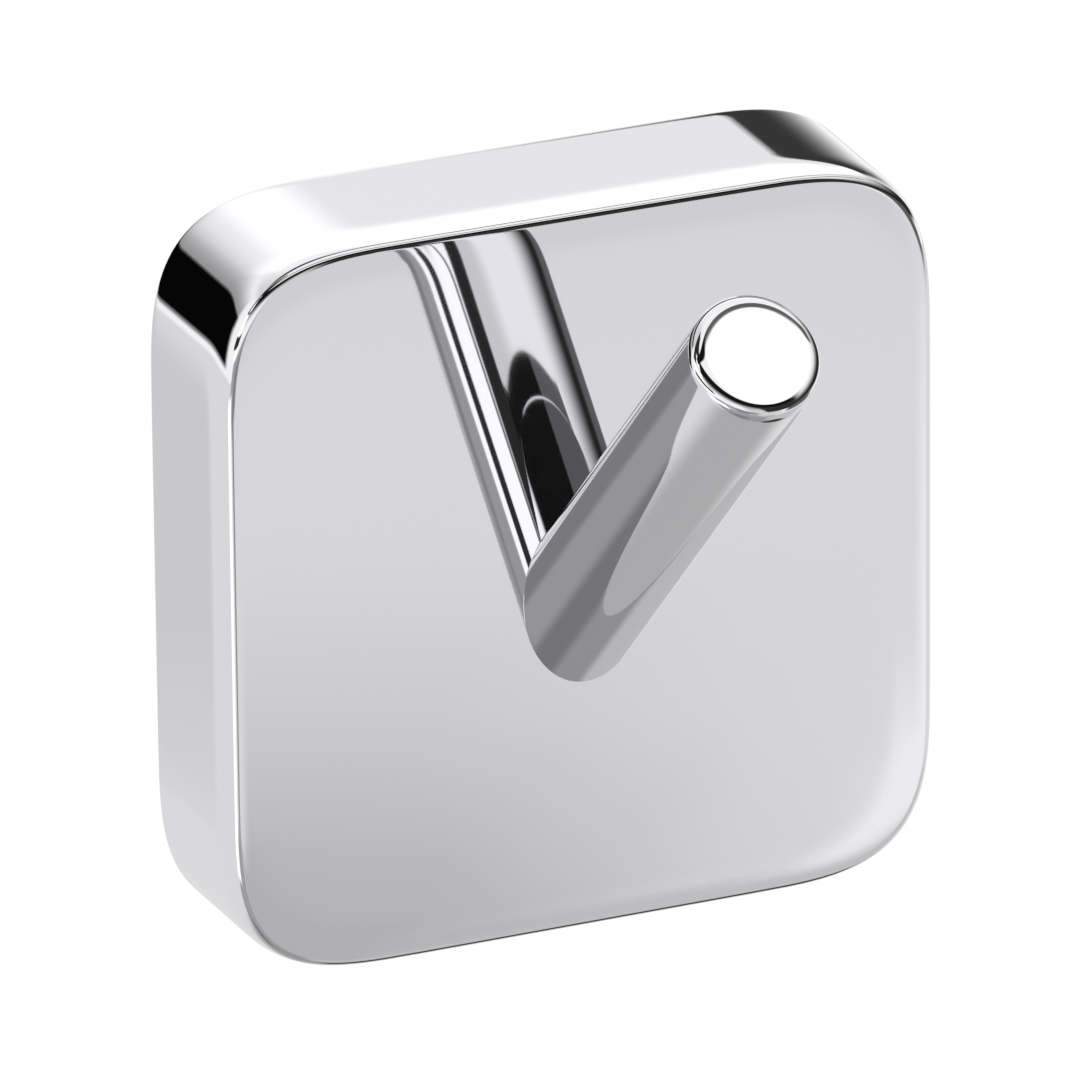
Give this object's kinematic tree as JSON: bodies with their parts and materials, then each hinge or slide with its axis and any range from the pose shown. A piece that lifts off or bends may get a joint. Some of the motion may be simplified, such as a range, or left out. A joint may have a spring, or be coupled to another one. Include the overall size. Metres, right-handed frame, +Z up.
{
  "type": "robe hook",
  "caption": "Square chrome robe hook: a soft-cornered cover on a concealed wall bracket, with a straight round peg angled out and upwards to hang a robe or towel.",
  "frame": {"origin": "centre of the wall bracket's back face, on the wall plane", "axes": "+Z up the wall, +X to the right of someone facing the hook, +Y into the wall; the hook faces -Y"},
  "size_m": [0.055, 0.0764, 0.0583],
  "materials": {
    "polished_chrome": "chrome plate over polished die-cast zinc",
    "stainless_steel": "stainless steel, as rolled and cold headed",
    "zinc_plated_steel": "pressed steel with bright zinc plate",
    "nylon": "moulded grey nylon",
    "black_steel": "black-oxide hardened steel"
  },
  "bodies": {
    "bracket": {"wall_bracket": "zinc_plated_steel", "wall_screw_upper": "stainless_steel", "wall_screw_lower": "stainless_steel", "wall_plug_upper": "nylon", "wall_plug_lower": "nylon"},
    "cover": {"cover": "polished_chrome", "peg": "polished_chrome", "peg_screw": "stainless_steel", "peg_lock_washer": "stainless_steel", "locating_pin": "stainless_steel"},
    "grub_screw": {"grub_screw": "black_steel"}
  },
  "joints": [
    {"name": "cover_pull", "type": "slide", "parent": "bracket", "child": "cover", "axis": [0, -1, 0], "range_m": [0, 0.014]},
    {"name": "grub_screw_travel", "type": "slide", "parent": "cover", "child": "grub_screw", "axis": [0, 0, -1], "range_m": [0, 0.004]}
  ]
}
